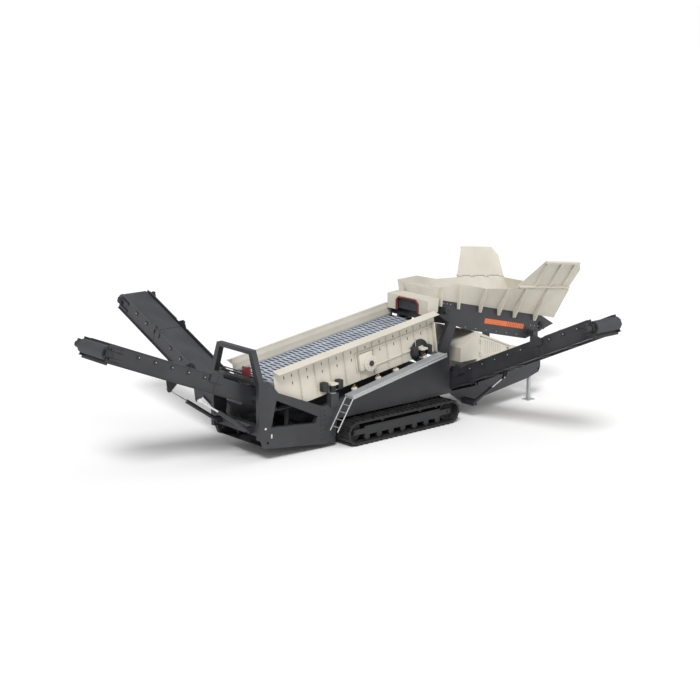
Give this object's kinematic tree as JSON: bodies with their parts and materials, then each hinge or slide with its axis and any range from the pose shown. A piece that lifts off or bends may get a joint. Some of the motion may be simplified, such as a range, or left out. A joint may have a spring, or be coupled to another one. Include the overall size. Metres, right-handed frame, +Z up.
{
  "type": "mobile screening plant",
  "caption": "Tracked mobile screening plant with feed hopper, inclined two-deck screen, tail conveyor and folding side conveyors.",
  "frame": {"origin": "centre of the underside of the whole machine's box, on the ground", "axes": "+X towards the feed hopper at the rear, +Y to the side without the near ladder view, +Z up"},
  "size_m": [14.4596, 11.6345, 3.9391],
  "materials": {
    "charcoal_paint": "satin paint",
    "beige_paint": "satin paint",
    "track_steel": "matt dark steel",
    "belt_rubber": "matt rubber",
    "screen_mesh": "worn wire mesh",
    "galvanised": "galvanised",
    "rod_chrome": "polished",
    "dark_steel": "matt"
  },
  "bodies": {
    "machine": {"chassis": "charcoal_paint", "front_frame": "charcoal_paint", "near_track_loop": "track_steel", "far_track_loop": "track_steel", "near_track_frame": "track_steel", "far_track_frame": "track_steel", "screen_box": "beige_paint", "screen_top_deck": "screen_mesh", "screen_lower_deck": "screen_mesh", "screen_springs": "dark_steel", "vibrator_guards": "beige_paint", "chutes": "dark_steel", "near_walkway": "galvanised", "far_walkway": "galvanised", "feeder_frame": "charcoal_paint", "feeder_belt": "belt_rubber", "feeder_legs": "charcoal_paint", "hopper_walls": "beige_paint", "feed_hood": "beige_paint", "power_pack": "beige_paint", "engine_block": "dark_steel", "tanks": "beige_paint", "tail_conveyor_foot": "charcoal_paint", "near_conveyor_foot": "charcoal_paint", "far_conveyor_foot": "charcoal_paint", "fines_conveyor": "charcoal_paint", "inner_conveyor_belts": "belt_rubber"},
    "tail_boom_body": {"tail_boom": "charcoal_paint", "tail_belt": "belt_rubber"},
    "tail_barrel_body": {"tail_barrels": "charcoal_paint"},
    "tail_rod_body": {"tail_rods": "rod_chrome"},
    "near_boom_lower_body": {"near_boom_lower": "charcoal_paint", "near_belt_lower": "belt_rubber"},
    "near_boom_upper_body": {"near_boom_upper": "charcoal_paint", "near_belt_upper": "belt_rubber"},
    "near_barrel_body": {"near_barrel": "charcoal_paint"},
    "near_rod_body": {"near_rod": "rod_chrome"},
    "far_boom_lower_body": {"far_boom_lower": "charcoal_paint", "far_belt_lower": "belt_rubber"},
    "far_boom_upper_body": {"far_boom_upper": "charcoal_paint", "far_belt_upper": "belt_rubber"},
    "far_barrel_body": {"far_barrel": "charcoal_paint"},
    "far_rod_body": {"far_rod": "rod_chrome"},
    "near_wing_body": {"near_hopper_wing": "beige_paint"},
    "far_wing_body": {"far_hopper_wing": "beige_paint"},
    "near_door_body": {"near_pack_door": "beige_paint"},
    "far_door_body": {"far_pack_door": "beige_paint"},
    "near_jack_body": {"near_jack_leg": "beige_paint"},
    "far_jack_body": {"far_jack_leg": "beige_paint"}
  },
  "joints": [
    {"name": "tail_boom_lift", "type": "hinge", "parent": "machine", "child": "tail_boom_body", "pos_m": [-4.12504, 0.01721, 2.26867], "axis": [0, 1, 0], "range_deg": [0, 75]},
    {"name": "tail_cylinder_swing", "type": "hinge", "parent": "machine", "child": "tail_barrel_body", "pos_m": [-3.36183, -0.62279, 0.78], "axis": [0, 1, 0], "range_deg": [0, 19.09]},
    {"name": "tail_rod_slide", "type": "slide", "parent": "tail_barrel_body", "child": "tail_rod_body", "axis": [-0.8201, 0, 0.5723], "range_m": [0, 0.73001]},
    {"name": "near_boom_lift", "type": "hinge", "parent": "machine", "child": "near_boom_lower_body", "pos_m": [3.44817, -1.15376, 1.4437], "axis": [-1, 0, 0], "range_deg": [0, 45]},
    {"name": "near_cylinder_swing", "type": "hinge", "parent": "machine", "child": "near_barrel_body", "pos_m": [3.44817, -1.33279, 0.43], "axis": [-1, 0, 0], "range_deg": [0, 26.38]},
    {"name": "near_rod_slide", "type": "slide", "parent": "near_barrel_body", "child": "near_rod_body", "axis": [0, -0.7658, 0.643], "range_m": [0, 0.58333]},
    {"name": "near_boom_fold", "type": "hinge", "parent": "near_boom_lower_body", "child": "near_boom_upper_body", "pos_m": [3.44817, -3.84725, 2.67119], "axis": [-1, 0, 0], "range_deg": [0, 175]},
    {"name": "far_boom_lift", "type": "hinge", "parent": "machine", "child": "far_boom_lower_body", "pos_m": [-2.40183, 1.13874, 1.18895], "axis": [1, 0, 0], "range_deg": [0, 45]},
    {"name": "far_cylinder_swing", "type": "hinge", "parent": "machine", "child": "far_barrel_body", "pos_m": [-2.40183, 1.36721, 0.37], "axis": [1, 0, 0], "range_deg": [0, 30.93]},
    {"name": "far_rod_slide", "type": "slide", "parent": "far_barrel_body", "child": "far_rod_body", "axis": [0, 0.8283, 0.5603], "range_m": [0, 0.54503]},
    {"name": "far_boom_fold", "type": "hinge", "parent": "far_boom_lower_body", "child": "far_boom_upper_body", "pos_m": [-2.40183, 3.989, 2.45797], "axis": [1, 0, 0], "range_deg": [0, 175]},
    {"name": "near_wing_fold", "type": "hinge", "parent": "machine", "child": "near_wing_body", "pos_m": [5.17817, -1.09779, 3.23], "axis": [-0.9914, 0.0503, 0.1208], "range_deg": [0, 100]},
    {"name": "far_wing_fold", "type": "hinge", "parent": "machine", "child": "far_wing_body", "pos_m": [5.17817, 1.13221, 3.23], "axis": [0.9914, 0.0503, -0.1208], "range_deg": [0, 100]},
    {"name": "near_door_swing", "type": "hinge", "parent": "machine", "child": "near_door_body", "pos_m": [4.15417, -0.84879, 1.54], "axis": [0, 0, -1], "range_deg": [0, 90]},
    {"name": "far_door_swing", "type": "hinge", "parent": "machine", "child": "far_door_body", "pos_m": [4.15417, 0.88321, 1.54], "axis": [0, 0, 1], "range_deg": [0, 90]},
    {"name": "near_jack_slide", "type": "slide", "parent": "machine", "child": "near_jack_body", "axis": [0, 0, 1], "range_m": [0, 0.35]},
    {"name": "far_jack_slide", "type": "slide", "parent": "machine", "child": "far_jack_body", "axis": [0, 0, 1], "range_m": [0, 0.35]}
  ],
  "couplings": [
    {"joint": "tail_cylinder_swing", "follows": "tail_boom_lift", "ratio": 0.25391},
    {"joint": "tail_rod_slide", "follows": "tail_boom_lift", "m_per_rad": 0.55692},
    {"joint": "near_cylinder_swing", "follows": "near_boom_lift", "ratio": 0.58513},
    {"joint": "near_rod_slide", "follows": "near_boom_lift", "m_per_rad": 0.74144},
    {"joint": "far_cylinder_swing", "follows": "far_boom_lift", "ratio": 0.68628},
    {"joint": "far_rod_slide", "follows": "far_boom_lift", "m_per_rad": 0.69268}
  ]
}
